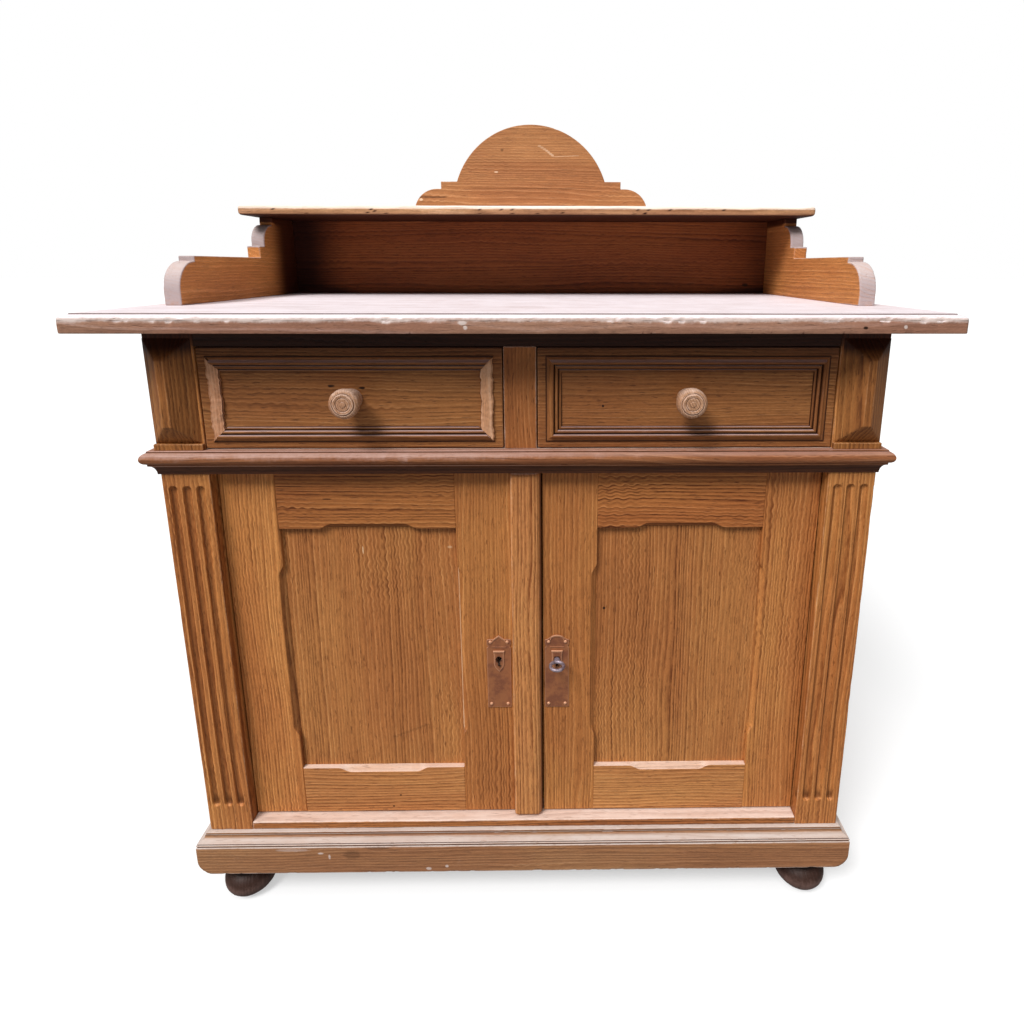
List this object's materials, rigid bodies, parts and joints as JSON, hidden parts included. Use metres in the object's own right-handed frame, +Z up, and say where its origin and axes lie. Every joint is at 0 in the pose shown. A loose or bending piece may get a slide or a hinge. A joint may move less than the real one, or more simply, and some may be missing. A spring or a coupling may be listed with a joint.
{
  "type": "wooden sideboard",
  "caption": "Softwood sideboard with panelled doors below a row of drawers, a moulded overhanging worktop, bun feet and a low gallery with a shelf and an arched crest.",
  "frame": {"origin": "on the floor under the middle of the worktop", "axes": "+Z up, the front with doors and drawers faces -Y, +X to the right of someone facing the front"},
  "size_m": [1.016, 0.545, 1.161],
  "materials": {
    "wood_honey": "brushed softwood, honey brown, open grain, waxed and worn",
    "wood_dark": "dark reddish-brown stained softwood",
    "wood_worn": "bleached and worn bare softwood",
    "wood_inside": "raw planed softwood",
    "iron": "worn grey iron",
    "plate_metal": "reddish-brown patinated sheet metal"
  },
  "bodies": {
    "carcass": {"foot_front_left": "wood_dark", "foot_front_right": "wood_dark", "foot_back_left": "wood_dark", "foot_back_right": "wood_dark", "foot_blocks": "wood_inside", "plinth_front": "wood_honey", "plinth_returns": "wood_honey", "plinth_back": "wood_inside", "side_left": "wood_honey", "side_right": "wood_honey", "floor_board": "wood_inside", "back_boards": "wood_inside", "bottom_rail": "wood_honey", "waist_rail": "wood_honey", "top_rail": "wood_dark", "drawer_divider": "wood_honey", "post_left": "wood_honey", "post_right": "wood_honey", "diamond_block_left": "wood_honey", "diamond_block_right": "wood_honey", "waist_moulding": "wood_honey", "drawer_runners": "wood_inside", "inner_shelf": "wood_inside", "shelf_battens": "wood_inside", "worktop": "wood_worn", "gallery_side_left": "wood_honey", "gallery_side_right": "wood_honey", "gallery_back": "wood_dark", "gallery_shelf": "wood_worn", "crest": "wood_honey"},
    "left_door": {"left_door_hinge_stile": "wood_honey", "left_door_meeting_stile": "wood_honey", "left_door_top_rail": "wood_honey", "left_door_bottom_rail": "wood_honey", "left_door_panel": "wood_honey", "meeting_strip": "wood_honey", "left_key_plate": "plate_metal", "left_door_fittings": "iron", "left_door_pivots": "iron"},
    "left_bolt": {"left_door_bolt": "iron"},
    "right_door": {"right_door_hinge_stile": "wood_honey", "right_door_meeting_stile": "wood_honey", "right_door_top_rail": "wood_honey", "right_door_bottom_rail": "wood_honey", "right_door_panel": "wood_honey", "right_key_plate": "plate_metal", "lock_case": "iron", "right_door_pivots": "iron"},
    "key": {"key": "iron"},
    "lock_bolt": {"lock_bolt": "iron"},
    "left_drawer": {"left_drawer_front": "wood_honey", "left_drawer_moulding": "wood_honey", "left_drawer_box": "wood_inside", "left_drawer_bottom": "wood_inside", "left_drawer_knob": "wood_worn"},
    "right_drawer": {"right_drawer_front": "wood_honey", "right_drawer_moulding": "wood_honey", "right_drawer_box": "wood_inside", "right_drawer_bottom": "wood_inside", "right_drawer_knob": "wood_worn"}
  },
  "joints": [
    {"name": "left_door_swing", "type": "hinge", "parent": "carcass", "child": "left_door", "pos_m": [-0.378, -0.1945, 0.39], "axis": [0, 0, -1], "range_deg": [0, 90]},
    {"name": "right_door_swing", "type": "hinge", "parent": "carcass", "child": "right_door", "pos_m": [0.378, -0.1945, 0.39], "axis": [0, 0, 1], "range_deg": [0, 90]},
    {"name": "left_drawer_slide", "type": "slide", "parent": "carcass", "child": "left_drawer", "axis": [0, -1, 0], "range_m": [0, 0.32]},
    {"name": "right_drawer_slide", "type": "slide", "parent": "carcass", "child": "right_drawer", "axis": [0, -1, 0], "range_m": [0, 0.32]},
    {"name": "key_turn", "type": "hinge", "parent": "right_door", "child": "key", "pos_m": [0.0455, -0.2055, 0.379], "axis": [0, 1, 0], "range_deg": [0, 180]},
    {"name": "lock_bolt_slide", "type": "slide", "parent": "right_door", "child": "lock_bolt", "axis": [-1, 0, 0], "range_m": [0, 0.014]},
    {"name": "left_bolt_slide", "type": "slide", "parent": "left_door", "child": "left_bolt", "axis": [0, 0, 1], "range_m": [0, 0.012]}
  ],
  "couplings": [
    {"joint": "lock_bolt_slide", "follows": "key_turn", "m_per_rad": 0.004456}
  ]
}
